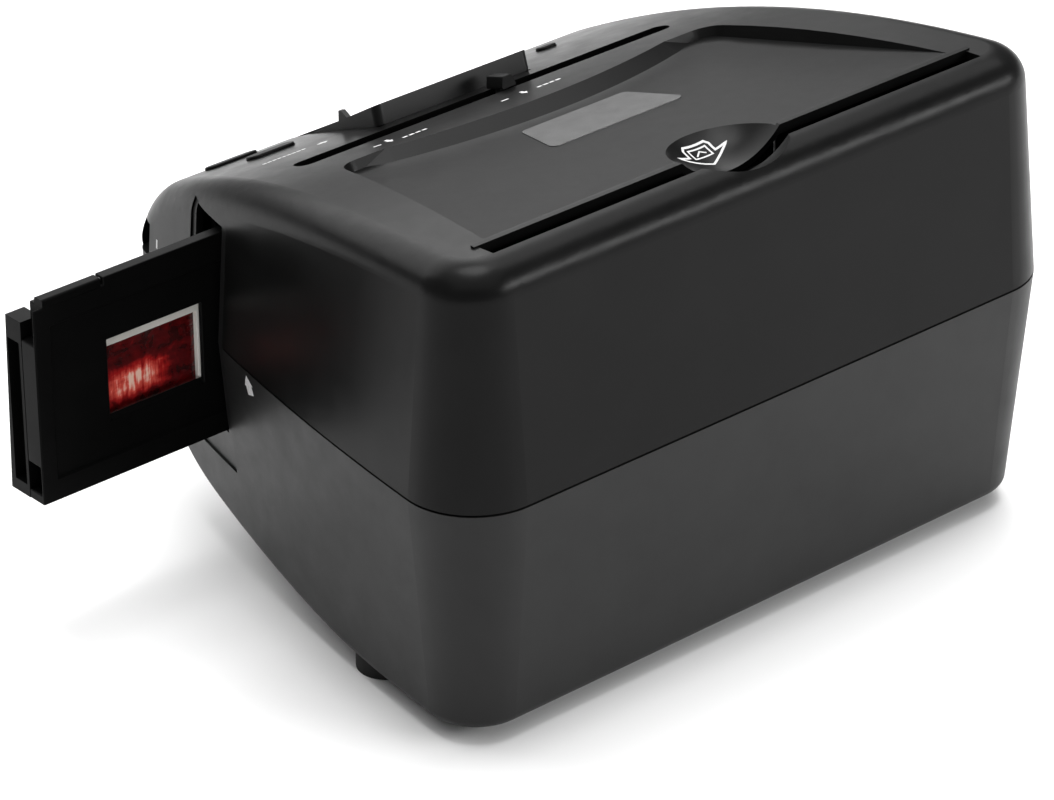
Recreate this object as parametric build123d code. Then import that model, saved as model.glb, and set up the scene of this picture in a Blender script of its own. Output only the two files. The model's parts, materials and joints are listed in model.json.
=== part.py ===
from build123d import *
import math
import os

# Table-top slide, negative and print viewer: a black two-shell housing with a tilted display on top,
# a slot for paper prints, a mode slider that carries the backlight, and a slide holder that is
# pushed through the housing from side to side.
# +X is the user's right, +Y the rear, +Z up. Depths are laid out from the middle of the housing; the
# finished parts are moved so that the origin is the centre of the flat underside.
ORIGIN_Y = 50.0

# ---- housing ----
HALF_REAR, HALF_MID, HALF_FRONT = 117.6, 104.8, 81.0   # half widths at the seam
Y_REAR, Y_MID, Y_FRONT = 80.0, -17.0, -114.0           # where those half widths are
REAR_CORNER_R = 22.0
Z_SEAM = 71.7
SEAM_GAP = 0.7
UPPER_DRAFT, LOWER_DRAFT = 4.6, 4.87                   # degrees
BLOCK_H = 80.0                                         # taller than either half
WALL = 2.5
TOP_EDGE_R, FRONT_CORNER_R, BOTTOM_EDGE_R = 10.0, 5.5, 3.2
NOSE_Y, NOSE_Z = -107.0, 83.0
CHIN_Y, CHIN_Z = -86.5, 21.0
FLAT_FRONT_Y = 30.0                                    # the flat underside ends here
LIP_H, LIP_T, LIP_PLAY = 2.6, 1.2, 0.1

# ---- standing ----
FOOT_H, FOOT_R = 5.0, 9.0
FOOT_X, FOOT_Y = 94.5, 20.0
LEG_X, LEG_Y, LEG_R, PAD_H = 68.0, -58.0, 8.5, 3.5
BOSSES = [(98.0, 38.0), (91.0, -12.0)]                 # mirrored left and right
BOSS_R, POST_R, BOSS_TOP = 5.0, 4.2, 20.0
SCREW_R, SCREW_HEAD_R, SCREW_HEAD_H, SCREW_SEAT = 1.2, 2.9, 2.2, 12.0

# ---- print slot ----
SLOT_X, SLOT_Y0, SLOT_Y1 = 92.0, 59.0, 65.0
GUIDE_TOP, GUIDE_FLOOR, GUIDE_T = 131.0, 12.0, 1.8
NOTCH_Y, NOTCH_R, NOTCH_DEPTH, NOTCH_WALL = 55.5, 18.0, 7.4, 2.0

# ---- recessed top panel ----
PANEL_STEP = 3.6
PANEL_FLOOR_Y, PANEL_REAR_Y = -12.0, 56.0              # the floor runs straight between these
PANEL_LIP_Y, PANEL_LIP_SIDE = -18.6, (52.0, -27.5)     # the arc along the front lip
PANEL_CORNER = (72.0, -28.0)
PANEL_REAR_X, PANEL_CORNER_R = 89.0, 9.0
PANEL_SIDE_ANGLE, PANEL_FRONT_ANGLE = 22.0, 62.0       # degrees from upright
BADGE_FRONT, BADGE_REAR = (19.8, -6.8), (25.4, 13.8)   # half width and y of its two ends
BADGE_T, BADGE_PROUD, BADGE_R = 0.9, 0.25, 2.2

# ---- mode slider and backlight ----
RAIL_SLOT_X0, RAIL_SLOT_X1, RAIL_SLOT_Y, RAIL_SLOT_W = -68.5, 73.5, -41.4, 6.8
KNOB_X, KNOB_W, KNOB_D, KNOB_H = -3.4, 5.0, 7.5, 3.6
SLIDER_TRAVEL = 47.0
ROD_R, ROD_PLAY = 1.5, 0.05
LIGHT_HALF, LIGHT_Y0, LIGHT_Y1 = 30.0, -46.6, -38.6

# ---- slide holder ----
AXIS_Z = 70.8                                          # height of the slides' centres
HOLD_X0, HOLD_X1 = -40.3, 160.3
HOLD_Y0, HOLD_LEAN, HOLD_SPLIT, HOLD_Y1 = -65.4, 1.8, -56.6, -50.0
HOLD_Z0, BASE_Z1, HOLD_Z1 = 41.7, 97.5, 103.2
SLIDE_X, SLIDE_PITCH, SLIDE_COUNT = 120.0, 60.0, 3
MOUNT_SIZE, MOUNT_Y0, MOUNT_Y1 = 50.0, -55.7, -52.5
FRAME_W, FRAME_H = 35.0, 23.0                          # picture opening of a slide mount
WINDOW_W, WINDOW_H, WINDOW_DX, WINDOW_Z = 33.4, 24.2, -1.4, 73.3
SILL_DROP = 2.4                                        # the sill of the cover's windows slopes down by this
GRIP_DEPTH, GRIP_Z0, GRIP_Z1 = 3.5, 45.5, 90.5         # pocket in the end that is pulled
STRIP_Y0, STRIP_Z1, HINGE_PIN_R = -53.8, 105.7, 0.7
HINGE_Y, HINGE_Z = -51.9, 104.45

# ---- side openings of the film path ----
GATE_Y0, GATE_Y1, GATE_Z0, GATE_Z1 = -66.0, -49.4, 41.1, 107.5
BEZEL_Y0, BEZEL_Y1, BEZEL_Z0, BEZEL_Z1 = -68.2, -45.8, 29.6, 108.6
BEZEL_SUNK, BEZEL_T, BEZEL_PLAY = 0.7, 2.6, 0.1

# ---- display ----
POD_X0, POD_X1, POD_Y0, POD_Y1 = -22.5, 36.0, -95.0, -50.0
POD_Z, POD_SLOPE = 127.0, 0.65                         # top of its rear wall; fall per mm forwards
POD_WALL, POD_LEAN = 2.0, 1.8
SCREEN_W, SCREEN_L = 49.0, 36.7

# ---- buttons: name, x, y, length along x, width ----
BUTTONS = [("button_back", 61.0, -87.6, 18.0, 6.0),
           ("button_forward", 57.0, -74.0, 16.5, 6.0),
           ("button_power", -49.5, -74.2, 7.0, 4.2)]
BUTTON_PROUD, BUTTON_DEPTH, BUTTON_PLAY, FLANGE = 0.9, 4.2, 0.25, 0.9

# ---- camera ----
LENS_R, LENS_BORE, LENS_Y0, LENS_Y1 = 8.0, 6.0, -82.4, -71.0


def top_z(y):
    """Height of the housing's top line at y."""
    u = y / 80.0
    return 133.4 + 16.0 * u - 8.4 * u ** 2 + 2.0 * u ** 3


def top_slope(y):
    u = y / 80.0
    return (16.0 - 16.8 * u + 6.0 * u ** 2) / 80.0


def top_angle(y):
    """Slope of the top line at y, in degrees."""
    return math.degrees(math.atan(top_slope(y)))


def box(x0, x1, y0, y1, z0, z1):
    return Pos((x0 + x1) / 2, (y0 + y1) / 2, (z0 + z1) / 2) * Box(x1 - x0, y1 - y0, z1 - z0)


def rod(axis, r, start, length):
    """A cylinder from start along +axis."""
    turn = {"X": Rot(0, 90, 0), "Y": Rot(-90, 0, 0), "Z": Rot(0, 0, 0)}[axis]
    body = Cylinder(r, length, align=(Align.CENTER, Align.CENTER, Align.MIN))
    return Pos(*start) * turn * body


def prism_x(points, x0, x1):
    """A polygon of (y, z) points extruded from x0 to x1."""
    face = make_face(Polyline([(x0, y, z) for y, z in points], close=True))
    return extrude(face, amount=x1 - x0, dir=(1, 0, 0))


def plan(inset):
    """The outline at the seam, pulled in by inset."""
    with BuildSketch() as sketch:
        with BuildLine():
            sides = [ThreePointArc((s * (HALF_REAR - inset), Y_REAR - inset),
                                   (s * (HALF_MID - inset), Y_MID),
                                   (s * (HALF_FRONT - inset), Y_FRONT)) for s in (1, -1)]
            Line(sides[0] @ 0, sides[1] @ 0)
            Line(sides[0] @ 1, sides[1] @ 1)
        make_face()
        fillet(sketch.vertices().sort_by(Axis.Y)[-2:], REAR_CORNER_R - inset)
    return sketch.sketch


def inward(y, z, dy, dz, inset):
    """A profile point moved inset to the left of its direction of travel."""
    length = math.hypot(dy, dz)
    return (y - inset * dz / length, z + inset * dy / length)


def side_profile(inset):
    """The silhouette from the side as a block wider than the housing."""
    front_dy, front_dz = CHIN_Y - NOSE_Y, CHIN_Z - NOSE_Z
    top_points = [inward(y, top_z(y), -1, -top_slope(y), inset)
                  for y in (90.0, 60.0, 25.0, -10.0, -40.0, -65.0, -90.0)]
    nose_end = inward(NOSE_Y, NOSE_Z, front_dy, front_dz, inset)
    chin_start = inward(CHIN_Y, CHIN_Z, 0.6, -0.8, inset)
    chin_points = [inward(-58.0, 10.6, 1, -0.19, inset), inward(-15.0, 3.6, 1, -0.13, inset),
                   (FLAT_FRONT_Y, inset)]
    with BuildSketch(Plane.YZ.offset(-HALF_REAR - 10)) as sketch:
        with BuildLine():
            top = Spline(*top_points, tangents=[(-1, -top_slope(90)), (-1, -top_slope(-90))])
            nose = TangentArc(top @ 1, nose_end, tangent=top % 1)
            front = Line(nose @ 1, chin_start)
            chin = Spline(front @ 1, *chin_points, tangents=[(0.75, -0.66), (1, 0)])
            under = Line(chin @ 1, (90, inset))
            Line(under @ 1, top @ 0)
        make_face()
    return extrude(sketch.sketch, 2 * (HALF_REAR + 10))


def housing(inset):
    """The whole housing as one solid, every face pulled in by inset."""
    outline = plan(inset).moved(Location((0, 0, Z_SEAM)))
    upper = mirror(extrude(outline, BLOCK_H, taper=UPPER_DRAFT), about=Plane.XY.offset(Z_SEAM))
    lower = extrude(outline, BLOCK_H, taper=LOWER_DRAFT)
    body = (upper + lower) & side_profile(inset)
    top_edges = [e for e in body.edges()
                 if (e @ 0.5).Z > 96 and not (abs((e @ 0.5).X) < 5 and (e @ 0.5).Y < 0)
                 and not (abs((e @ 0).Z - (e @ 1).Z) > 40 and abs((e @ 0).Y - (e @ 1).Y) < 20)]
    body = fillet(top_edges, TOP_EDGE_R - inset)
    corners = [e for e in body.edges()
               if (e @ 0.5).Y < -80 and abs((e @ 0.5).X) > 70 and 15 < (e @ 0.5).Z < 100]
    body = fillet(corners, FRONT_CORNER_R - inset)
    under = [e for e in body.edges() if (e @ 0.5).Z < inset + 0.01 and abs((e @ 0).Z - (e @ 1).Z) < 0.01
             and not (abs((e @ 0.5).X) < 5 and (e @ 0.5).Y < 60)]
    return fillet(under, BOTTOM_EDGE_R - inset) if inset < BOTTOM_EDGE_R else body


OUTER = housing(0)
INNER = housing(WALL)


def mirrored(x, y):
    return [(x, y), (-x, y)]


def layer(z0, z1):
    return box(-150, 150, -150, 150, z0, z1)


# ---- shared cut shapes ----
def panel_floor(y):
    """Height of the recessed panel's flat floor at y."""
    front = top_z(PANEL_FLOOR_Y) - PANEL_STEP
    return front + (top_z(PANEL_REAR_Y) - front) * (y - PANEL_FLOOR_Y) / (PANEL_REAR_Y - PANEL_FLOOR_Y)


def panel_angle():
    return math.degrees(math.atan(panel_floor(1) - panel_floor(0)))


def tapered_down(outline, angle, height):
    """A block below its outline, narrowing downwards."""
    block = extrude(outline, 14, taper=angle)
    if block.bounding_box().max.Z > 1:
        block = mirror(block, about=Plane.XY)
    rise = (top_z(PANEL_REAR_Y) - top_z(PANEL_LIP_Y)) / (PANEL_REAR_Y - PANEL_LIP_Y)
    tilt = Rot(math.degrees(math.atan(rise)), 0, 0)
    return Pos(0, PANEL_LIP_Y, top_z(PANEL_LIP_Y)) * tilt * Pos(0, 0, height) * block


def panel_cut():
    """The recess: a gentle slope along its front lip, steep sides, and a floor that rises to the slot."""
    cx, cy = PANEL_CORNER
    rear = PANEL_REAR_Y + 2 - PANEL_LIP_Y
    with BuildSketch() as inner:
        Polygon((cx, cy - PANEL_LIP_Y), (PANEL_REAR_X, rear), (-PANEL_REAR_X, rear),
                (-cx, cy - PANEL_LIP_Y), align=None)
        fillet(inner.vertices().sort_by(Axis.Y)[:2], PANEL_CORNER_R)
    sx, sy = PANEL_LIP_SIDE
    with BuildSketch() as lip:
        with BuildLine():
            arc = ThreePointArc((sx, sy - PANEL_LIP_Y), (0, 0), (-sx, sy - PANEL_LIP_Y))
            right = Line(arc @ 0, (sx + 70, sy - PANEL_LIP_Y - 40))
            left = Line(arc @ 1, (-sx - 70, sy - PANEL_LIP_Y - 40))
            far_right = Line(right @ 1, (sx + 70, rear + 60))
            far_left = Line(left @ 1, (-sx - 70, rear + 60))
            Line(far_right @ 1, far_left @ 1)
        make_face()
    sides = tapered_down(inner.sketch, PANEL_SIDE_ANGLE, 3.0)
    slope = tapered_down(lip.sketch, PANEL_FRONT_ANGLE, 0.0)
    slope += tapered_down(lip.sketch, 0, 14.0)
    front, back = PANEL_FLOOR_Y - 40, PANEL_REAR_Y + 20
    above = prism_x([(front, panel_floor(front)), (back, panel_floor(back)), (back, 180), (front, 180)],
                    -100, 100)
    return sides & slope & above


def notch_ball(extra):
    """The ball that hollows the thumb notch."""
    ball_r = (NOTCH_R ** 2 + NOTCH_DEPTH ** 2) / (2 * NOTCH_DEPTH)
    return Pos(0, NOTCH_Y, top_z(NOTCH_Y) - NOTCH_DEPTH + ball_r) * Sphere(ball_r + extra)


def on_top(x, y):
    """A frame lying on the top surface at x, y."""
    return Pos(x, y, top_z(y)) * Rot(top_angle(y), 0, 0)


def button_shape(length, width, grow, z0, z1):
    outline = SlotOverall(length + 2 * grow, width + 2 * grow)
    return Pos(0, 0, z0) * extrude(outline, z1 - z0)


def film_path(side, grow):
    """The rectangle that the side bezel fills, cut through the wall on one side."""
    x0, x1 = sorted((side * 70.0, side * 130.0))
    return box(x0, x1, BEZEL_Y0 - grow, BEZEL_Y1 + grow, BEZEL_Z0 - grow, BEZEL_Z1 + grow)


PORT = box(74.0, 95.0, -104.0, -96.6, 77.2, 87.4)


# ---- housing shells ----
def boss_axes():
    return [p for b in BOSSES for p in mirrored(*b)]


def upper_shell():
    shell = (OUTER - INNER) & layer(Z_SEAM + SEAM_GAP / 2, 200)
    shell -= housing(WALL - LIP_T - LIP_PLAY) & layer(0, Z_SEAM + LIP_H)
    bowl = notch_ball(NOTCH_WALL) & OUTER & layer(top_z(NOTCH_Y) - NOTCH_DEPTH - 4, 200)
    shell += bowl
    inside = housing(1.0)
    shell += inside & prism_x([(-33, panel_floor(-33) - WALL), (56, panel_floor(56) - WALL),
                               (56, 200), (-33, 200)], -86, 86)
    for x, y in boss_axes():
        post = rod("Z", POST_R, (x, y, BOSS_TOP), 150) & inside
        shell += post - rod("Z", SCREW_R + 0.05, (x, y, BOSS_TOP), 14)
    shell -= panel_cut()
    shell += box(-SLOT_X - 1.5, SLOT_X + 1.5, SLOT_Y0 - 1.4, SLOT_Y0, 139.5, top_z(SLOT_Y0) + 0.5)
    shell -= notch_ball(0)
    shell -= box(-SLOT_X, SLOT_X, SLOT_Y0, SLOT_Y1, 125, 160)
    rail_slot = extrude(SlotOverall(RAIL_SLOT_X1 - RAIL_SLOT_X0, RAIL_SLOT_W), 30)
    shell -= Pos((RAIL_SLOT_X0 + RAIL_SLOT_X1) / 2, RAIL_SLOT_Y, 110) * rail_slot
    shell -= box(POD_X0, POD_X1, POD_Y0, POD_Y1, 85, 140)
    for side in (1, -1):
        shell -= film_path(side, BEZEL_PLAY)
    shell -= PORT
    for _, x, y, length, width in BUTTONS:
        shell -= on_top(x, y) * button_shape(length, width, BUTTON_PLAY, -8, 8)
    shell -= badge(BADGE_PROUD)
    return shell


def lower_shell():
    shell = (OUTER - INNER) & layer(-1, Z_SEAM - SEAM_GAP / 2)
    shell += (housing(WALL - LIP_T) - INNER) & layer(Z_SEAM - SEAM_GAP, Z_SEAM + LIP_H)
    inside = housing(1.0)
    for x, y in boss_axes():
        shell += rod("Z", BOSS_R, (x, y, 0), BOSS_TOP) & inside
        shell -= rod("Z", SCREW_HEAD_R + 0.4, (x, y, -1), SCREW_SEAT + 1)
        shell -= rod("Z", SCREW_R + 0.4, (x, y, 0), 40)
    for x, y in mirrored(LEG_X, LEG_Y):
        leg = Pos(x, y, PAD_H - FOOT_H) * Cone(LEG_R, LEG_R + 1.5, 20,
                                               align=(Align.CENTER, Align.CENTER, Align.MIN))
        shell += leg - INNER
    for x, y in PCB_HOLES:
        shell += rod("Z", 3.0, (x, y, 0), PCB_Z) & inside
        shell -= rod("Z", 1.05, (x, y, 3.5), 20)
    for side in (1, -1):
        shell -= film_path(side, BEZEL_PLAY)
        x0, x1 = sorted((side * 76.0, side * 84.0))
        shell += box(x0, x1, LED_Y - 2.0, LED_Y, 1.5, 60) & INNER
    return shell


def side_bezel(side):
    """A sunken frame round the film path's mouth, following the side wall."""
    frame = (housing(BEZEL_SUNK) - housing(BEZEL_SUNK + BEZEL_T)) & film_path(side, 0)
    return frame - box(-150, 150, GATE_Y0, GATE_Y1, GATE_Z0, GATE_Z1)


def rubber_feet():
    rear = [rod("Z", FOOT_R, (x, y, -FOOT_H), FOOT_H + 4) - OUTER for x, y in mirrored(FOOT_X, FOOT_Y)]
    pads = [rod("Z", LEG_R - 0.5, (x, y, -FOOT_H), PAD_H) for x, y in mirrored(LEG_X, LEG_Y)]
    return Compound([s.solids().sort_by(Axis.Z)[0] for s in rear] + [p.solid() for p in pads])


def screw(x, y, z, r, length, head_r, head_h):
    """A pan-head screw driven upwards, its head under z, or downwards if length is negative."""
    shank = rod("Z", r, (x, y, min(z, z + length)), abs(length))
    head = rod("Z", head_r, (x, y, z - head_h if length > 0 else z), head_h)
    return (shank + head).solids()[0]


def case_screws():
    return Compound([screw(x, y, SCREW_SEAT, SCREW_R, 18, SCREW_HEAD_R, SCREW_HEAD_H)
                              for x, y in boss_axes()])


# ---- top details ----
def badge(proud):
    """A thin blank plate let into the recessed panel."""
    tilt = Pos(0, 0, panel_floor(0)) * Rot(panel_angle(), 0, 0)
    (front_x, front_y), (rear_x, rear_y) = BADGE_FRONT, BADGE_REAR
    corners = [(front_x, front_y), (rear_x, rear_y), (-rear_x, rear_y), (-front_x, front_y)]
    outline = make_face(Polyline([(x, y, 0) for x, y in corners], close=True))
    plate = extrude(outline, amount=BADGE_T + proud, dir=(0, 0, 1))
    plate = fillet(plate.edges().filter_by(Axis.Z), BADGE_R)
    return tilt * Pos(0, 0, -BADGE_T) * plate


def pod_top(y, drop=0.0):
    """Height of the display's tilted face at y, drop below it along its normal."""
    return POD_Z - POD_SLOPE * (POD_Y1 - y) - drop * math.hypot(1, POD_SLOPE)


def on_display():
    """A frame on the tilted face, at the middle of the screen."""
    y = POD_Y1 - 22.0
    return Pos((POD_X0 + POD_X1) / 2, y, pod_top(y)) * Rot(math.degrees(math.atan(POD_SLOPE)), 0, 0)


def lcd_bezel():
    lean_y = POD_Y1 - POD_LEAN
    outer = prism_x([(POD_Y1, 120.0), (lean_y, pod_top(lean_y)), (POD_Y0, pod_top(POD_Y0)), (POD_Y0, 95.0),
                     (POD_Y1, 119.0)], POD_X0, POD_X1)
    outer = fillet([e for e in outer.edges() if (e @ 0.5).Y > lean_y and abs((e @ 0).Z - (e @ 1).Z) > 0.5],
                   2.5)
    y0, y1 = POD_Y0 + POD_WALL, POD_Y1 - POD_WALL
    hollow = prism_x([(y1, pod_top(y1, POD_WALL)), (y0, pod_top(y0, POD_WALL)), (y0, 80), (y1, 80)],
                     POD_X0 + POD_WALL, POD_X1 - POD_WALL)
    window = on_display() * Box(SCREEN_W, SCREEN_L, 12)
    fin = prism_x([(-64.5, pod_top(-64.5) - 0.2), (-68.5, pod_top(-68.5) - 0.2),
                   (-68.5, pod_top(-68.5) + 3.4), (-67.2, pod_top(-68.5) + 3.8)],
                  POD_X1 - 1.6, POD_X1)
    return outer - hollow - window + fin


def display_sheet(width, length, z0, z1):
    return on_display() * Pos(0, 0, (z0 + z1) / 2) * Box(width, length, z1 - z0)


def button(x, y, length, width):
    cap = button_shape(length, width, 0, -BUTTON_DEPTH, BUTTON_PROUD)
    edges = cap.edges().filter_by(lambda e: (e @ 0).Z > BUTTON_PROUD - 0.01 and (e @ 1).Z > BUTTON_PROUD - 0.01)
    cap = fillet(edges, 0.5)
    flange = button_shape(length, width, FLANGE, -BUTTON_DEPTH - 1.0, -BUTTON_DEPTH)
    return on_top(x, y) * (cap + flange)


# ---- print path ----
def photo_slot_guide():
    """A chute that holds a print upright; its front wall is open so that the camera sees the print."""
    x1 = SLOT_X + GUIDE_T
    chute = box(-x1, x1, SLOT_Y0 - GUIDE_T, SLOT_Y1 + GUIDE_T, 1.0, GUIDE_TOP) & INNER
    chute -= box(-SLOT_X, SLOT_X, SLOT_Y0, SLOT_Y1, GUIDE_FLOOR, 200)
    chute -= box(-82, 82, SLOT_Y0 - 10, SLOT_Y0, 20, 122)
    return chute - box(-60, 60, SLOT_Y0 - 10, SLOT_Y1 + 10, 0, 8)


# ---- film path ----
GATE_X, GATE_WALL = 84.0, 2.0


def gate_wall(y0, y1):
    """One side of the tunnel, with the window that the camera looks through."""
    wall = box(-GATE_X, GATE_X, y0, y1, GATE_Z0, GATE_Z1)
    return wall - box(-20, 20, y0 - 1, y1 + 1, AXIS_Z - 15, AXIS_Z + 17)


def film_gate_front():
    return gate_wall(GATE_Y0 - GATE_WALL, GATE_Y0)


def film_gate_rear():
    """The rear side, with the lugs that hold the slider's rods."""
    wall = gate_wall(GATE_Y1, GATE_Y1 + GATE_WALL)
    for x in (-38.0, 80.0):
        for z in ROD_ZS:
            lug = box(x, x + 4, GATE_Y1 + GATE_WALL, ROD_Y + 3, z - 3, z + 3)
            wall += lug - rod("X", ROD_R + 0.02, (x - 1, ROD_Y, z), 6)
    return wall


def film_gate_roof():
    return box(-GATE_X, GATE_X, GATE_Y0 - GATE_WALL, GATE_Y1 + GATE_WALL, GATE_Z1, GATE_Z1 + 1.2)


def film_gate_floor():
    """The floor that the holder runs on, and its two legs."""
    floor = box(-GATE_X, GATE_X, GATE_Y0 - GATE_WALL, GATE_Y1 + GATE_WALL, GATE_Z0 - 3, GATE_Z0)
    for x in (-62, 62):
        floor += box(x - 2, x + 2, GATE_Y0 - GATE_WALL, GATE_Y1 + GATE_WALL, 1, GATE_Z0 - 3) & INNER
    return floor


def backlight_frame():
    """The carriage: an open frame on two rods, with the stem that the knob sits on."""
    frame = box(-LIGHT_HALF, LIGHT_HALF, LIGHT_Y0, LIGHT_Y1, ROD_ZS[0] - 3, ROD_ZS[1] + 3)
    frame -= box(-22, 22, LIGHT_Y0 - 1, LIGHT_Y1 + 1, AXIS_Z - 19, AXIS_Z + 19)
    frame -= box(-26, 26, LIGHT_Y0, LIGHT_Y0 + 2, AXIS_Z - 21, AXIS_Z + 21)
    frame -= box(-26, 26, LIGHT_Y1 - 1.6, LIGHT_Y1, AXIS_Z - 21, AXIS_Z + 21)
    for z in ROD_ZS:
        frame -= rod("X", ROD_R + ROD_PLAY, (-LIGHT_HALF - 1, ROD_Y, z), 2 * LIGHT_HALF + 2)
    stem = box(KNOB_X - 1.5, KNOB_X + 1.5, RAIL_SLOT_Y - 1.2, RAIL_SLOT_Y + 1.2, ROD_ZS[1] + 2.5,
               top_z(RAIL_SLOT_Y) + 1.6)
    return frame + stem


def slider_knob():
    """A small ridge that narrows towards its top, with a socket for the stem."""
    foot = 0.45
    block = Box(KNOB_W, KNOB_D, KNOB_H, align=(Align.CENTER, Align.CENTER, Align.MIN))
    block = chamfer(block.edges().group_by(Axis.Z)[-1].filter_by(Axis.Y), KNOB_H - 0.8, 0.9)
    block = fillet(block.edges().group_by(Axis.Z)[-1], 0.5)
    cap = on_top(KNOB_X, RAIL_SLOT_Y) * Pos(0, 0, foot) * block
    return cap - box(KNOB_X - 1.5, KNOB_X + 1.5, RAIL_SLOT_Y - 1.2, RAIL_SLOT_Y + 1.2, 100,
                     top_z(RAIL_SLOT_Y) + 1.6)


# ---- camera ----
def camera_bracket():
    plate = box(-24, 24, LENS_Y0 - 3.6, LENS_Y0 - 1.6, 40, 95)
    leg = box(-24, 24, LENS_Y0 - 3.6, LENS_Y0 + 6, 3, 44) - box(-20, 20, LENS_Y0 - 1.6, 0, 0, 60)
    return (plate + leg) & INNER


def lens_barrel():
    barrel = rod("Y", LENS_R, (0, LENS_Y0, AXIS_Z), LENS_Y1 - LENS_Y0)
    barrel -= rod("Y", LENS_BORE, (0, LENS_Y0 + 2, AXIS_Z), 30)
    return barrel - rod("Y", 3.0, (0, LENS_Y0 - 1, AXIS_Z), 30)


def lens(y, thickness):
    """A biconvex element whose rim is held in the barrel."""
    disc = rod("Y", LENS_BORE - 0.05, (0, y, AXIS_Z), thickness)
    bulge = 26.0
    for at in (y + thickness - bulge, y + bulge):
        disc &= Pos(0, at, AXIS_Z) * Sphere(bulge)
    return disc


# ---- slide holder ----
def slide_centres():
    return [SLIDE_X - SLIDE_PITCH * i for i in range(SLIDE_COUNT)]


def window_cut(x):
    """The opening over a slide's picture, through both halves."""
    x += WINDOW_DX
    return box(x - WINDOW_W / 2, x + WINDOW_W / 2, HOLD_Y0 - 1, HOLD_Y1 + 1,
               WINDOW_Z - WINDOW_H / 2, WINDOW_Z + WINDOW_H / 2)


KNUCKLES = [-38.0, -10.0, 6.0, 60.0, 76.0, 136.3]       # ends of the hinge barrel's segments
KNUCKLE_GAP = 0.15


def knuckle(i, y0=STRIP_Y0):
    """A segment of the hinge barrel: even ones are the cover's, odd ones the base's."""
    x0, x1 = KNUCKLES[i] + KNUCKLE_GAP, KNUCKLES[i + 1] - KNUCKLE_GAP
    lift = KNUCKLE_GAP * (i % 2)
    bar = box(x0, x1, y0, HOLD_Y1, HOLD_Z1 + lift, STRIP_Z1)
    return bar - rod("X", HINGE_PIN_R + 0.04, (x0 - 1, HINGE_Y, HINGE_Z), x1 - x0 + 2)


def holder_base():
    """The front half: it leans back a little, and its pads press on the slides."""
    base = prism_x([(HOLD_Y0, HOLD_Z0), (HOLD_SPLIT, HOLD_Z0), (HOLD_SPLIT, BASE_Z1),
                    (HOLD_Y0 + HOLD_LEAN, BASE_Z1)], HOLD_X0, HOLD_X1)
    base -= box(147.0, 153.7, HOLD_Y0 - 1, HOLD_SPLIT + 1, BASE_Z1 - 4.0, BASE_Z1 + 1)
    for i in range(1, len(KNUCKLES) - 1, 2):
        x0, x1 = KNUCKLES[i] + KNUCKLE_GAP, KNUCKLES[i + 1] - KNUCKLE_GAP
        base += box(x0, x1, HOLD_SPLIT - 3.4, HOLD_SPLIT - KNUCKLE_GAP, BASE_Z1 - 1, STRIP_Z1)
        base += knuckle(i, HOLD_SPLIT - 3.4)
    for x in slide_centres():
        pad = MOUNT_SIZE / 2 - 1.0
        base += box(x - pad, x + pad, HOLD_SPLIT - 1, MOUNT_Y0 - 0.1, AXIS_Z - pad, AXIS_Z + pad)
        base -= window_cut(x)
    return base - box(HOLD_X1 - GRIP_DEPTH, HOLD_X1 + 1, HOLD_Y0 + 2.2, HOLD_SPLIT - 1.2, GRIP_Z0, GRIP_Z1)


def holder_cover():
    """The rear half: it carries the slides in pockets and has a sunken panel outside."""
    cover = box(HOLD_X0, HOLD_X1, HOLD_SPLIT, HOLD_Y1, HOLD_Z0, HOLD_Z1)
    pocket = MOUNT_SIZE / 2 + 0.3
    for x in slide_centres():
        cover -= box(x - pocket, x + pocket, HOLD_SPLIT - 1, MOUNT_Y1 + 0.1, AXIS_Z - pocket,
                     AXIS_Z + pocket)
        cover -= window_cut(x)
        sill_y, sill_z = MOUNT_Y1 + 0.1, WINDOW_Z - WINDOW_H / 2
        cover -= prism_x([(sill_y, sill_z), (HOLD_Y1, sill_z - SILL_DROP), (HOLD_Y1 + 1, sill_z - SILL_DROP),
                          (HOLD_Y1 + 1, sill_z + 1), (sill_y, sill_z + 1)],
                         x + WINDOW_DX - WINDOW_W / 2, x + WINDOW_DX + WINDOW_W / 2)
    cover -= box(HOLD_X0 + 4, HOLD_X1 - 5.5, HOLD_Y1 - 0.8, HOLD_Y1 + 1, HOLD_Z0 + 7, HOLD_Z1 - 6.4)
    for z0, z1 in ((HOLD_Z0 + 3, HOLD_Z0 + 12), (HOLD_Z1 - 11, HOLD_Z1 + 1)):
        cover -= box(HOLD_X1 - 3.5, HOLD_X1 + 1, HOLD_SPLIT - 1, HOLD_Y1 - 0.9, z0, z1)
    for i in range(0, len(KNUCKLES) - 1, 2):
        cover += knuckle(i)
    return cover


def holder_latch():
    bar = box(137.0, 157.1, STRIP_Y0, HOLD_Y1, HOLD_Z1, STRIP_Z1)
    return fillet(bar.edges().filter_by(Axis.X).group_by(Axis.Z)[-1], 0.8)


def slide_mounts():
    def one(x):
        plate = box(x - MOUNT_SIZE / 2, x + MOUNT_SIZE / 2, MOUNT_Y0, MOUNT_Y1,
                    AXIS_Z - MOUNT_SIZE / 2, AXIS_Z + MOUNT_SIZE / 2)
        return plate - box(x - FRAME_W / 2, x + FRAME_W / 2, -100, 0, AXIS_Z - FRAME_H / 2,
                           AXIS_Z + FRAME_H / 2)
    return Compound([one(x).solids()[0] for x in slide_centres()])


def slide_films():
    return Compound([
        box(x - FRAME_W / 2, x + FRAME_W / 2, (MOUNT_Y0 + MOUNT_Y1) / 2 - 0.1,
            (MOUNT_Y0 + MOUNT_Y1) / 2 + 0.1, AXIS_Z - FRAME_H / 2, AXIS_Z + FRAME_H / 2).solids()[0] for x in slide_centres()])


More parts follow.
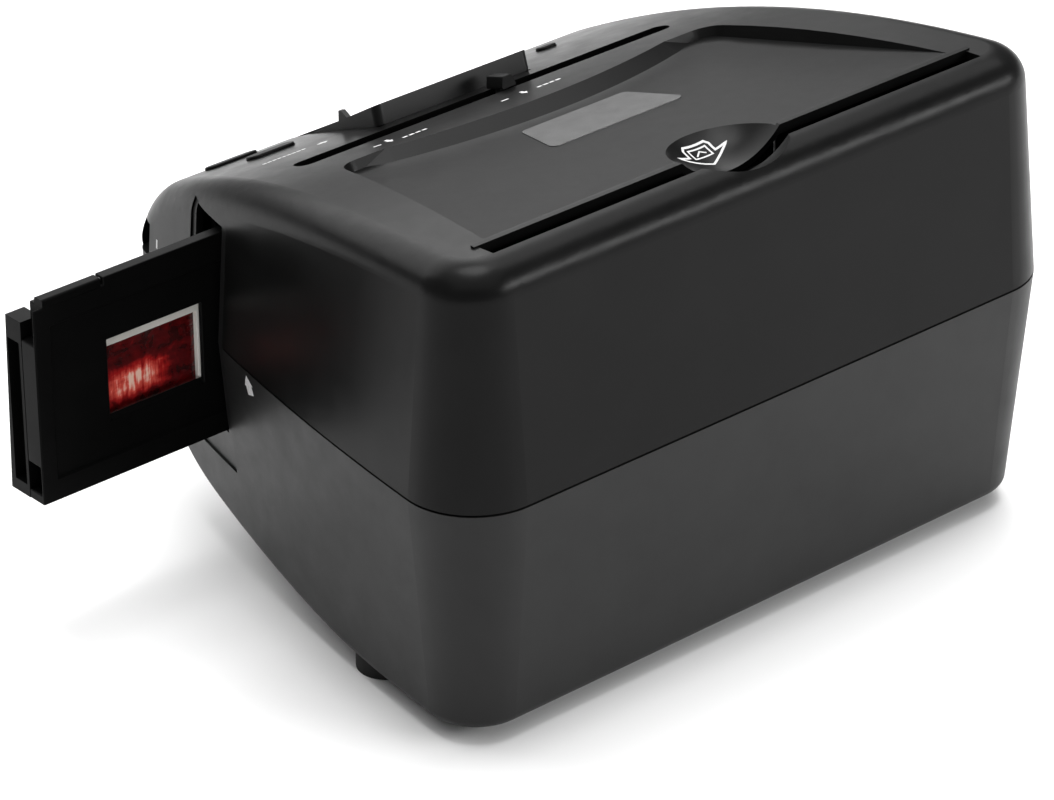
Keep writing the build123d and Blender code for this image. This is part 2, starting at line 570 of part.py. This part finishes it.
# ---- boards ----
PCB_Z, PCB_T = 8.0, 1.6
PCB_HOLES = [(x, y) for x in (-50.0, 50.0) for y in (2.0, 48.0)]
LED_Y = -27.0
ROD_Y, ROD_ZS = -42.6, (AXIS_Z - 27.0, AXIS_Z + 27.0)


def main_pcb():
    board = box(-56, 56, -4, 53, PCB_Z, PCB_Z + PCB_T)
    for x, y in PCB_HOLES:
        board -= rod("Z", 1.3, (x, y, 0), 30)
    return board


def pcb_screws():
    return Compound([screw(x, y, PCB_Z + PCB_T, 1.0, -5.5, 2.0, 1.4) for x, y in PCB_HOLES])


def led_bar(side):
    x0, x1 = sorted((side * 76.0, side * 84.0))
    bar = box(x0, x1, LED_Y, LED_Y + 1.2, 24, 112)
    middle = side * 80.0
    for i in range(8):
        z = 29 + 11 * i
        bar += box(middle - 1.5, middle + 1.5, LED_Y + 1.2, LED_Y + 2.2, z, z + 3)
    return bar


def button_board():
    """One tilted board under the two buttons on the right, clear of their travel."""
    y = (BUTTONS[0][2] + BUTTONS[1][2]) / 2
    drop = BUTTON_DEPTH + 3.4
    return on_top(58, y) * Pos(0, -3.5, -drop) * Box(24, 20, 1.2)


def usb_socket():
    shell = box(71.0, 79.0, -102.4, -98.2, 78.2, 86.4)
    return shell - box(73.0, 80, -101.6, -99.0, 79.0, 85.6)


PARTS = {
    "upper_shell": upper_shell(),
    "lower_shell": lower_shell(),
    "film_slot_bezel_right": side_bezel(1),
    "film_slot_bezel_left": side_bezel(-1),
    "rubber_feet": rubber_feet(),
    "case_screws": case_screws(),
    "badge_plate": badge(BADGE_PROUD),
    "lcd_bezel": lcd_bezel(),
    "lcd_window": display_sheet(52, 40, -POD_WALL - 0.8, -POD_WALL),
    "lcd_panel": display_sheet(52, 38, -POD_WALL - 3.0, -POD_WALL - 0.8),
    "photo_slot_guide": photo_slot_guide(),
    "film_gate_front": film_gate_front(),
    "film_gate_rear": film_gate_rear(),
    "film_gate_roof": film_gate_roof(),
    "film_gate_floor": film_gate_floor(),
    "slider_rods": Compound([rod("X", ROD_R, (-38, ROD_Y, z), 122).solid() for z in ROD_ZS]),
    "backlight_frame": backlight_frame(),
    "backlight_diffuser": box(-26, 26, LIGHT_Y0, LIGHT_Y0 + 2, AXIS_Z - 21, AXIS_Z + 21),
    "backlight_board": box(-26, 26, LIGHT_Y1 - 1.6, LIGHT_Y1, AXIS_Z - 21, AXIS_Z + 21),
    "slider_knob": slider_knob(),
    "camera_bracket": camera_bracket(),
    "sensor_board": box(-19, 19, LENS_Y0 - 1.6, LENS_Y0, AXIS_Z - 17, AXIS_Z + 17),
    "lens_barrel": lens_barrel(),
    "lens_front_element": lens(LENS_Y1 - 3.2, 3.0),
    "lens_rear_element": lens(LENS_Y0 + 2.4, 2.4),
    "main_pcb": main_pcb(),
    "pcb_screws": pcb_screws(),
    "led_bar_right": led_bar(1),
    "led_bar_left": led_bar(-1),
    "button_board": button_board(),
    "io_board": box(58, 77, -98.2, -96.6, 72, 92),
    "usb_socket": usb_socket(),
    "holder_base": holder_base(),
    "holder_cover": holder_cover(),
    "holder_latch": holder_latch(),
    "holder_hinge_pin": rod("X", HINGE_PIN_R, (KNUCKLES[0], HINGE_Y, HINGE_Z), KNUCKLES[-1] - KNUCKLES[0]),
    "slide_mounts": slide_mounts(),
    "slide_films": slide_films(),
}
for name, x, y, length, width in BUTTONS:
    PARTS[name] = button(x, y, length, width)

os.makedirs("parts", exist_ok=True)
for name, shape in PARTS.items():
    export_step(Pos(0, -ORIGIN_Y, 0) * shape, f"parts/{name}.step")
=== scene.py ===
import json
import math

import bmesh
import bpy
from mathutils import Matrix, Vector
from mathutils.bvhtree import BVHTree


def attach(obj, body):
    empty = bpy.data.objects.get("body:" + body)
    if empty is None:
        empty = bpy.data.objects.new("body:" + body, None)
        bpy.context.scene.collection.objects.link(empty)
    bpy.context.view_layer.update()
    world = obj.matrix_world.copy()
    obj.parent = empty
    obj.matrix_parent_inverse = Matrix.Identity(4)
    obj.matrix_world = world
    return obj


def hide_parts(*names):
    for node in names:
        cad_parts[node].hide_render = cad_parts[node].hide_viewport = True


# Looks of the slide and print viewer, in metres in the frame's axes:
# +X is the user's right, +Y the rear, +Z up.

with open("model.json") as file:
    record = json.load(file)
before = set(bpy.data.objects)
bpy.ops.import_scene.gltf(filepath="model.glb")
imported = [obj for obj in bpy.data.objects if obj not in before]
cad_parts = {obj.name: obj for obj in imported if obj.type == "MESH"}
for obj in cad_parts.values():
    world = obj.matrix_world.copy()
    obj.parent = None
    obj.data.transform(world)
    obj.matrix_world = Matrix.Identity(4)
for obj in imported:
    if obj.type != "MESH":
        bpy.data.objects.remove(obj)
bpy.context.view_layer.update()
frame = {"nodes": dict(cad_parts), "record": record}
NODES = frame["nodes"]
SLOT_OF = {row["node"]: row["material_slot"] for row in frame["record"]["subparts"]}
MM = 0.001
FLOOR_Z = -0.005
AXIS_Z = 0.0708          # height of the slides' centres
SLIDE_PITCH = 0.06
PICTURE_HALF_H = 0.0115
DRAWING_Y = 50.0         # the marks are drawn in mm, with y measured this far from the frame's y
CAST_FROM = 0.2          # where rays that look for the surface start

# the printed marks, in mm
INK = 0.03               # half of the ink's thickness
STROKE_STEP = 0.5        # longest stretch of a stroke between two rows of points
THINNEST = 0.02
SHORTEST_MITER = 0.5     # stops a sharp corner from growing wider than twice the stroke


# ---------------------------------------------------------------- materials
def new_material(name):
    """A material with its tree, its shader and an object-space coordinate."""
    material = bpy.data.materials.new(name)
    material.use_nodes = True
    tree = material.node_tree
    shader = tree.nodes["Principled BSDF"]
    coords = tree.nodes.new("ShaderNodeTexCoord")
    return material, tree, shader, coords.outputs["Object"]


def noise(tree, coords, size, detail=2.0, rough=0.5, distortion=0.0, stretch=None):
    """Noise with features of about size metres."""
    node = tree.nodes.new("ShaderNodeTexNoise")
    node.inputs["Scale"].default_value = 1.0 / size
    node.inputs["Detail"].default_value = detail
    node.inputs["Roughness"].default_value = rough
    node.inputs["Distortion"].default_value = distortion
    if stretch:
        mapping = tree.nodes.new("ShaderNodeMapping")
        mapping.inputs["Scale"].default_value = stretch
        tree.links.new(coords, mapping.inputs["Vector"])
        coords = mapping.outputs["Vector"]
    tree.links.new(coords, node.inputs["Vector"])
    return node.outputs["Fac"]


def ramp(tree, value, stops):
    """Maps a value to colours or greys at the given stops."""
    node = tree.nodes.new("ShaderNodeValToRGB")
    while len(node.color_ramp.elements) < len(stops):
        node.color_ramp.elements.new(0.5)
    for element, (place, colour) in zip(node.color_ramp.elements, stops):
        element.position = place
        element.color = (*(colour if isinstance(colour, tuple) else (colour,) * 3), 1.0)
    tree.links.new(value, node.inputs["Fac"])
    return node.outputs["Color"]


def bump(tree, shader, heights):
    """Chains bumps: heights is a list of (value, strength, distance in metres)."""
    normal = None
    for value, strength, distance in heights:
        node = tree.nodes.new("ShaderNodeBump")
        node.inputs["Strength"].default_value = strength
        node.inputs["Distance"].default_value = distance
        tree.links.new(value, node.inputs["Height"])
        if normal:
            tree.links.new(normal, node.inputs["Normal"])
        normal = node.outputs["Normal"]
    tree.links.new(normal, shader.inputs["Normal"])


def plastic(name, dark, light, rough, grain=0.5, relief=0.25, specular=0.5):
    """Moulded plastic: a fine spark-eroded grain, faint flow marks and uneven sheen."""
    material, tree, shader, coords = new_material(name)
    fine = noise(tree, coords, grain * MM, 3.0, 0.6)
    flow = noise(tree, coords, 0.035, 3.0, 0.55, 0.4)
    rub = noise(tree, coords, 0.009, 4.0, 0.6)
    tree.links.new(ramp(tree, flow, [(0.3, dark), (0.7, light)]), shader.inputs["Base Color"])
    tree.links.new(ramp(tree, rub, [(0.3, rough - 0.035), (0.7, rough + 0.035)]),
                   shader.inputs["Roughness"])
    shader.inputs["Specular IOR Level"].default_value = specular
    bump(tree, shader, [(fine, relief, 0.05 * MM), (flow, 0.08, 0.3 * MM)])
    return material


def metal(name, dark, light, rough, stretch):
    """Machined metal with fine lines along one axis."""
    material, tree, shader, coords = new_material(name)
    lines = noise(tree, coords, 0.0006, 3.0, 0.6, 0.0, stretch)
    stain = noise(tree, coords, 0.006, 3.0)
    tree.links.new(ramp(tree, stain, [(0.3, dark), (0.7, light)]), shader.inputs["Base Color"])
    tree.links.new(ramp(tree, lines, [(0.3, rough - 0.06), (0.7, rough + 0.08)]),
                   shader.inputs["Roughness"])
    shader.inputs["Metallic"].default_value = 1.0
    bump(tree, shader, [(lines, 0.15, 0.03 * MM)])
    return material


def board_material():
    """Solder mask with copper traces showing through."""
    material, tree, shader, coords = new_material("board")
    brick = tree.nodes.new("ShaderNodeTexBrick")
    brick.inputs["Scale"].default_value = 160.0
    brick.inputs["Color1"].default_value = (0.006, 0.085, 0.035, 1)
    brick.inputs["Color2"].default_value = (0.008, 0.07, 0.03, 1)
    brick.inputs["Mortar"].default_value = (0.03, 0.19, 0.08, 1)
    brick.inputs["Mortar Size"].default_value = 0.04
    tree.links.new(coords, brick.inputs["Vector"])
    tree.links.new(brick.outputs["Color"], shader.inputs["Base Color"])
    patch = noise(tree, coords, 0.004, 2.0)
    tree.links.new(ramp(tree, patch, [(0.3, 0.28), (0.7, 0.42)]), shader.inputs["Roughness"])
    bump(tree, shader, [(brick.outputs["Fac"], 0.2, 0.05 * MM)])
    return material


def glass_material(name, tint, rough):
    """Clear coated glass with faint dust."""
    material, tree, shader, coords = new_material(name)
    dust = noise(tree, coords, 0.0012, 4.0, 0.7)
    tree.links.new(ramp(tree, dust, [(0.4, tint), (0.8, tuple(min(1.0, c * 1.03) for c in tint))]),
                   shader.inputs["Base Color"])
    tree.links.new(ramp(tree, dust, [(0.5, rough), (0.8, rough + 0.06)]), shader.inputs["Roughness"])
    shader.inputs["Transmission Weight"].default_value = 1.0
    shader.inputs["IOR"].default_value = 1.5
    return material


def display_material():
    """A dark display that is switched off: blue-black with a very fine dot pitch."""
    material, tree, shader, coords = new_material("display")
    dots = tree.nodes.new("ShaderNodeTexChecker")
    dots.inputs["Scale"].default_value = 3500.0
    dots.inputs["Color1"].default_value = (0.008, 0.010, 0.014, 1)
    dots.inputs["Color2"].default_value = (0.014, 0.017, 0.024, 1)
    tree.links.new(coords, dots.inputs["Vector"])
    tree.links.new(dots.outputs["Color"], shader.inputs["Base Color"])
    haze = noise(tree, coords, 0.012, 2.0)
    tree.links.new(ramp(tree, haze, [(0.3, 0.16), (0.7, 0.22)]), shader.inputs["Roughness"])
    return material


def diffuser_material():
    """Milky acrylic in front of the backlight."""
    material, tree, shader, coords = new_material("diffuser")
    milk = noise(tree, coords, 0.006, 3.0)
    tree.links.new(ramp(tree, milk, [(0.3, (0.80, 0.82, 0.80)), (0.7, (0.88, 0.89, 0.87))]),
                   shader.inputs["Base Color"])
    shader.inputs["Roughness"].default_value = 0.45
    shader.inputs["Subsurface Weight"].default_value = 0.4
    shader.inputs["Subsurface Radius"].default_value = (0.002, 0.002, 0.002)
    bump(tree, shader, [(milk, 0.05, 0.1 * MM)])
    return material


def mount_material():
    """White moulded slide mount with a dull, fibrous surface."""
    material, tree, shader, coords = new_material("mount_white")
    fibre = noise(tree, coords, 0.0008, 4.0, 0.6)
    tone = noise(tree, coords, 0.01, 2.0)
    tree.links.new(ramp(tree, tone, [(0.3, (0.62, 0.60, 0.56)), (0.7, (0.72, 0.70, 0.66))]),
                   shader.inputs["Base Color"])
    shader.inputs["Roughness"].default_value = 0.6
    bump(tree, shader, [(fibre, 0.2, 0.03 * MM)])
    return material


def film_material():
    """A red transparency: an invented night view with lit columns, a bright floor and dark corners."""
    material, tree, shader, coords = new_material("film")
    split = tree.nodes.new("ShaderNodeSeparateXYZ")
    tree.links.new(coords, split.inputs["Vector"])

    def maths(operation, a, b=0.0):
        node = tree.nodes.new("ShaderNodeMath")
        node.operation = operation
        for socket, value in zip(node.inputs, (a, b)):
            if isinstance(value, float):
                socket.default_value = value
            else:
                tree.links.new(value, socket)
        return node.outputs["Value"]

    def hump(value, scale):
        """1 where value is 0, falling to 0 on both sides."""
        square = maths("POWER", maths("ABSOLUTE", maths("MULTIPLY", value, scale)), 2.0)
        return maths("MAXIMUM", maths("SUBTRACT", 1.0, square), 0.0)

    # u runs over one picture and repeats at the slides' pitch, and v runs over its height
    pitches = maths("DIVIDE", split.outputs["X"], SLIDE_PITCH)
    u = maths("SUBTRACT", maths("FRACT", maths("ADD", pitches, 0.5)), 0.5)
    v = maths("DIVIDE", maths("SUBTRACT", split.outputs["Z"], AXIS_Z), PICTURE_HALF_H)
    columns = noise(tree, coords, 0.0016, 2.0, 0.6, 0.0, (1.0, 1.0, 0.16))
    blobs = noise(tree, coords, 0.0042, 3.0, 0.6, 0.5)
    beams = noise(tree, coords, 0.0030, 2.0, 0.5, 0.3, (0.25, 1.0, 1.6))
    low = hump(maths("ADD", v, 0.28), 1.9)
    near = hump(maths("SUBTRACT", u, 0.06), 4.6)
    lit = maths("MULTIPLY", columns, maths("MULTIPLY", low, near))
    haze = maths("ADD", maths("MULTIPLY", blobs, 0.42), maths("MULTIPLY", beams, 0.18))
    total = maths("ADD", maths("MULTIPLY", lit, 0.95), haze)
    picture = ramp(tree, total, [(0.20, (0.010, 0.0006, 0.0006)), (0.36, (0.10, 0.002, 0.003)),
                                 (0.50, (0.38, 0.010, 0.010)), (0.66, (0.75, 0.10, 0.07)),
                                 (0.82, (0.95, 0.62, 0.50))])
    tree.links.new(picture, shader.inputs["Base Color"])
    # the picture also glows faintly: a painted glow that stands in for light shining through the film
    # from behind
    tree.links.new(picture, shader.inputs["Emission Color"])
    shader.inputs["Emission Strength"].default_value = 0.02
    shader.inputs["Roughness"].default_value = 0.22
    bump(tree, shader, [(blobs, 0.05, 0.05 * MM)])
    return material


def print_material():
    """White pad-printed ink, a little uneven."""
    material, tree, shader, coords = new_material("print_white")
    ink = noise(tree, coords, 0.0005, 3.0)
    tree.links.new(ramp(tree, ink, [(0.3, 0.50), (0.7, 0.66)]), shader.inputs["Base Color"])
    shader.inputs["Roughness"].default_value = 0.5
    bump(tree, shader, [(ink, 0.1, 0.01 * MM)])
    return material


MATERIALS = {
    "black_satin": plastic("black_satin", 0.0035, 0.005, 0.32, 0.45, 0.18, 0.10),
    "black_base": plastic("black_base", 0.010, 0.013, 0.46, 0.45, 0.25, 0.22),
    "black_trim": plastic("black_trim", 0.009, 0.013, 0.40, 0.35, 0.15, 0.24),
    "black_holder": plastic("black_holder", 0.002, 0.003, 0.40, 0.4, 0.15, 0.045),
    "internal": plastic("internal", 0.016, 0.026, 0.55, 0.6, 0.25),
    "rubber": plastic("rubber", 0.010, 0.018, 0.80, 0.5, 0.5, 0.25),
    "badge": metal("badge", 0.085, 0.11, 0.42, (1.0, 40.0, 40.0)),
    "steel": metal("steel", 0.50, 0.62, 0.30, (1.0, 1.0, 12.0)),
    "board": board_material(),
    "display": display_material(),
    "display_glass": glass_material("display_glass", (0.92, 0.94, 0.94), 0.04),
    "lens_glass": glass_material("lens_glass", (0.93, 0.95, 0.98), 0.0),
    "diffuser": diffuser_material(),
    "mount_white": mount_material(),
    "film": film_material(),
}
PRINT = print_material()
BUTTONS = ("button_back", "button_forward", "button_power")
KEYCAP = plastic("keycap", 0.003, 0.005, 0.48, 0.4, 0.2, 0.08)

for node, slot in SLOT_OF.items():
    mesh = NODES[node].data
    mesh.materials.clear()
    mesh.materials.append(KEYCAP if node in BUTTONS else MATERIALS[slot])


# ---------------------------------------------------------------- pieces
SAME_POINT = 1e-6
FLAT_ANGLE, EDGE_ANGLE, SHADE_ANGLE = (math.radians(angle) for angle in (0.3, 40, 42))


def node_body(node):
    """The body that a CAD node belongs to."""
    bodies = frame["record"]["behaviour"]["bodies"]
    return next(body for body, members in bodies.items() if node in members)


def piece(name, mesh, body, material):
    """A new object that rides on a CAD body and takes the material it is given."""
    ob = bpy.data.objects.new(name, mesh)
    bpy.context.collection.objects.link(ob)
    mesh.materials.clear()
    mesh.materials.append(material)
    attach(ob, body)
    return ob


def softened(node, width, material=None):
    """Stands for a CAD node, with its sharp edges rounded off by up to width in mm. The shortest edges
    of a mesh limit how much comes off the rest."""
    width *= MM
    mesh = NODES[node].data.copy()
    form = bmesh.new()
    form.from_mesh(mesh)
    bmesh.ops.remove_doubles(form, verts=form.verts, dist=SAME_POINT)
    bmesh.ops.dissolve_limit(form, angle_limit=FLAT_ANGLE, verts=form.verts, edges=form.edges)
    # an edge has to be long enough for a bevel at both of its ends
    sharp = [edge for edge in form.edges if len(edge.link_faces) == 2
             and edge.calc_length() > 2.2 * width and edge.calc_face_angle() > EDGE_ANGLE]
    bmesh.ops.bevel(form, geom=sharp, offset=width, segments=2, profile=0.5, affect="EDGES",
                    clamp_overlap=True)
    form.to_mesh(mesh)
    form.free()
    mesh.name = node + "_shape"
    mesh.shade_smooth()
    mesh.set_sharp_from_angle(angle=SHADE_ANGLE)
    slot = SLOT_OF[node]
    ob = piece(node + "_softened", mesh, node_body(node), material or MATERIALS[slot])
    weighted = ob.modifiers.new("weighted", "WEIGHTED_NORMAL")
    weighted.keep_sharp = True
    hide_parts(node)


def tree_of(*nodes):
    """The faces of some CAD nodes, for finding points on them."""
    verts, faces = [], []
    for node in nodes:
        mesh = NODES[node].data
        start = len(verts)
        verts += [v.co.copy() for v in mesh.vertices]
        faces += [[start + i for i in p.vertices] for p in mesh.polygons]
    return BVHTree.FromPolygons(verts, faces)


def outline(points, widths):
    """The pairs of points on both sides of a stroke, mitred at its corners, all in mm on a plane."""
    points = [Vector(p) for p in points]
    if isinstance(widths, (int, float)):
        widths = [widths] * len(points)
    closed = (points[0] - points[-1]).length < SAME_POINT
    rows = []
    for i, (a, b) in enumerate(zip(points, points[1:])):
        steps = max(1, math.ceil((b - a).length / STROKE_STEP))
        for k in range(steps + (i == len(points) - 2)):
            t = k / steps
            at = a.lerp(b, t)
            width = widths[i] + (widths[i + 1] - widths[i]) * t
            along = (b - a).normalized()
            neighbour = None
            if k == 0 and (i > 0 or closed):
                neighbour = points[i] - points[i - 1 if i > 0 else -2]
            elif k == steps and closed:
                neighbour = points[1] - points[0]
            if neighbour is not None:
                miter = (along + neighbour.normalized()).normalized()
                width /= max(SHORTEST_MITER, miter.dot(along))
                along = miter
            side = Vector((-along.y, along.x)) * max(width, THINNEST) / 2
            rows.append((at + side, at - side))
    return rows


def printed(name, strokes, tree, project):
    """Ink on the housing. A stroke is (points, widths) in mm on a plane, and project gives a ray
    (start, direction) for a point of that plane."""
    form = bmesh.new()
    for points, widths in strokes:
        tops = []
        for row in outline(points, widths):
            pair = []
            for p in row:
                start, direction = project(p)
                place, normal, _, _ = tree.ray_cast(start, direction)
                if normal.dot(direction) > 0:
                    normal.negate()
                pair.append([form.verts.new(place + normal * side * MM) for side in (INK, -INK)])
            tops.append(pair)
        for (a, b), (c, d) in zip(tops, tops[1:]):
            form.faces.new((a[0], b[0], d[0], c[0]))
            form.faces.new((c[1], d[1], b[1], a[1]))
            form.faces.new((a[1], a[0], c[0], c[1]))
            form.faces.new((b[0], b[1], d[1], d[0]))
        for a, b in (tops[0], tops[-1]):
            form.faces.new((a[0], a[1], b[1], b[0]))
    bmesh.ops.recalc_face_normals(form, faces=form.faces)
    mesh = bpy.data.meshes.new(name)
    form.to_mesh(mesh)
    form.free()
    piece(name, mesh, "housing", PRINT)


def down(p):
    """The ray that drops onto the top at a point drawn from above."""
    return Vector((p.x * MM, (p.y - DRAWING_Y) * MM, CAST_FROM)), Vector((0, 0, -1))


def from_right(p):
    """The ray that meets the right wall at a point drawn from the right."""
    return Vector((CAST_FROM, (p.x - DRAWING_Y) * MM, p.y * MM)), Vector((-1, 0, 0))


SHELL = tree_of("upper_shell")


def arrow(x, y, length, width, turn):
    """A small block arrow that starts at x, y and points along turn, in degrees."""
    c, s = math.cos(math.radians(turn)), math.sin(math.radians(turn))

    def at(u):
        return (x + u * c, y + u * s)

    return [([at(0), at(length * 0.45)], width * 0.45),
            ([at(length * 0.45), at(length)], [width, 0.05])]


def dashes(x0, x1, y, count, width):
    """A row of short bars that stands for a word."""
    step = (x1 - x0) / count
    return [([(x0 + step * i, y), (x0 + step * (i + 0.72), y)], width) for i in range(count)]


for node, width in (("holder_base", 0.9), ("holder_cover", 0.6), ("holder_latch", 0.4),
                    ("lcd_bezel", 0.4), ("badge_plate", 0.12),
                    ("film_slot_bezel_right", 0.6), ("film_slot_bezel_left", 0.6),
                    ("slide_mounts", 0.2), ("usb_socket", 0.1)):
    softened(node, width)
softened("slider_knob", 0.2, material=KEYCAP)

# the icon in the print slot's notch: an arrow around a picture in its frame
WING, SHAFT, ICON_X = 8.8, 4.8, 0.8
icon = [([(-SHAFT, 48.4), (-SHAFT, 45.6), (-SHAFT + 0.9, 44.4), (SHAFT - 0.9, 44.4), (SHAFT, 45.6),
          (SHAFT, 48.4), (WING, 48.4), (0, 53.2), (-WING, 48.4), (-SHAFT, 48.4)], 0.7),
        ([(-3.2, 45.8), (3.2, 45.8), (3.2, 49.2), (-3.2, 49.2), (-3.2, 45.8)], 0.5),
        ([(-1.9, 48.0), (-0.2, 46.8), (1.9, 48.4)], 0.45)]
icon = [([(x + ICON_X, y) for x, y in points], width) for points, width in icon]
printed("mark_print_in", icon, SHELL, down)

# beside the rail slot's two positions and the buttons
labels = arrow(-1.0, -30.6, 3.4, 2.4, 90) + dashes(-6.0, -15.5, -28.8, 4, 0.9)
labels += [([(8.0, -28.4), (5.4, -28.4)], 0.7)]
labels += arrow(47.4, -33.4, 3.6, 2.6, 90) + dashes(44.0, 34.5, -29.6, 4, 0.9)
labels += [([(53.5, -31.2), (51.0, -30.8)], 0.7)]
labels += dashes(72.0, 56.0, -58.5, 9, 0.8) + arrow(52.5, -57.6, 3.6, 2.6, 180)
printed("marks_on_top", labels, SHELL, down)

# an arrow beside the slide holder, and a bar behind the port
wall_marks = [([(-29.3, 64.2), (-30.4, 67.4)], 3.6), ([(-30.2, 66.8), (-31.2, 69.9)], [5.2, 0.05]),
              ([(-91.2, 82.2), (-91.2, 84.9)], 0.9)]
BOTH = tree_of("upper_shell", "lower_shell")
printed("marks_on_side", wall_marks, BOTH, from_right)


# ---------------------------------------------------------------- stage
FLOOR_HALF = 12.0
CAMERA_PLACE = (0.875724, 0.927793, 0.758306)
CAMERA_AZIMUTH, CAMERA_ELEVATION, CAMERA_ROLL = (math.radians(a) for a in (138.938, 28.775, -0.433))
CAMERA_LENS, CAMERA_SENSOR = 174.66, 36.0
# name, place, target, width, height, watts
LIGHTS = [
    ("fill", (0.5, 0.6, 2.4), (0.3, 0.35, 0), 4.0, 4.0, 42),
    ("far_softbox", (-0.2, -2.0, 1.55), (0, -0.05, 0.1), 3.6, 1.8, 64),
    ("top_softbox", (-1.2, -0.4, 1.95), (0, 0, 0.14), 1.7, 1.1, 14),
    ("side_softbox", (-1.25, 1.6, 0.75), (0, 0.03, 0.14), 1.4, 0.35, 26),
]
KEY_STRENGTH, KEY_ANGLE, KEY_TILT = 2.4, math.radians(34), math.radians(4)
WORLD_STRENGTH = 0.12


def area_light(name, place, target, width, height, watts):
    """A rectangular softbox that faces its target."""
    data = bpy.data.lights.new(name, "AREA")
    data.shape = "RECTANGLE"
    data.size, data.size_y = width, height
    data.energy = watts
    light = bpy.data.objects.new(name, data)
    light.location = place
    direction = Vector(target) - Vector(place)
    light.rotation_mode = "QUATERNION"
    light.rotation_quaternion = direction.to_track_quat("-Z", "Y")
    bpy.context.collection.objects.link(light)


def floor():
    """A pale floor, wide enough to be the whole background."""
    mesh = bpy.data.meshes.new("floor")
    corners = [(x * FLOOR_HALF, y * FLOOR_HALF, FLOOR_Z) for x, y in ((-1, -1), (1, -1), (1, 1), (-1, 1))]
    mesh.from_pydata(corners, [], [(0, 1, 2, 3)])
    ob = bpy.data.objects.new("floor", mesh)
    bpy.context.collection.objects.link(ob)
    material, tree, shader, coords = new_material("floor")
    tone = noise(tree, coords, 0.4, 2.0)
    tree.links.new(ramp(tree, tone, [(0.3, 0.83), (0.7, 0.86)]), shader.inputs["Base Color"])
    shader.inputs["Roughness"].default_value = 0.7
    shader.inputs["Specular IOR Level"].default_value = 0.1
    mesh.materials.append(material)


def camera():
    """The camera, at the angle that shows the rear, the right side and the top."""
    back = Vector((math.sin(CAMERA_AZIMUTH) * math.cos(CAMERA_ELEVATION),
                   -math.cos(CAMERA_AZIMUTH) * math.cos(CAMERA_ELEVATION),
                   math.sin(CAMERA_ELEVATION)))
    level = Vector((math.cos(CAMERA_AZIMUTH), math.sin(CAMERA_AZIMUTH), 0))
    upright = back.cross(level)
    right = level * math.cos(CAMERA_ROLL) + upright * math.sin(CAMERA_ROLL)
    up = upright * math.cos(CAMERA_ROLL) - level * math.sin(CAMERA_ROLL)
    data = bpy.data.cameras.new("camera")
    data.sensor_width = CAMERA_SENSOR
    data.lens = CAMERA_LENS
    data.clip_start, data.clip_end = 0.05, 50.0
    ob = bpy.data.objects.new("camera", data)
    rows = [(*row, place) for row, place in zip(zip(right, up, back), CAMERA_PLACE)]
    ob.matrix_world = Matrix(rows + [(0, 0, 0, 1)])
    bpy.context.collection.objects.link(ob)
    bpy.context.scene.camera = ob


def key_light():
    """Wide light from nearly overhead, which leaves a soft shadow close to the object."""
    data = bpy.data.lights.new("key", "SUN")
    data.energy = KEY_STRENGTH
    data.angle = KEY_ANGLE
    key = bpy.data.objects.new("key", data)
    key.location = (0, 0, 2)
    key.rotation_euler = (KEY_TILT, -KEY_TILT, 0)
    bpy.context.collection.objects.link(key)


def studio():
    """A dim white surround."""
    world = bpy.data.worlds.new("studio")
    world.use_nodes = True
    background = world.node_tree.nodes["Background"]
    background.inputs["Color"].default_value = (1, 1, 1, 1)
    background.inputs["Strength"].default_value = WORLD_STRENGTH
    bpy.context.scene.world = world


floor()
camera()
for light in LIGHTS:
    area_light(*light)
key_light()
studio()
bpy.context.scene.view_settings.view_transform = "Standard"
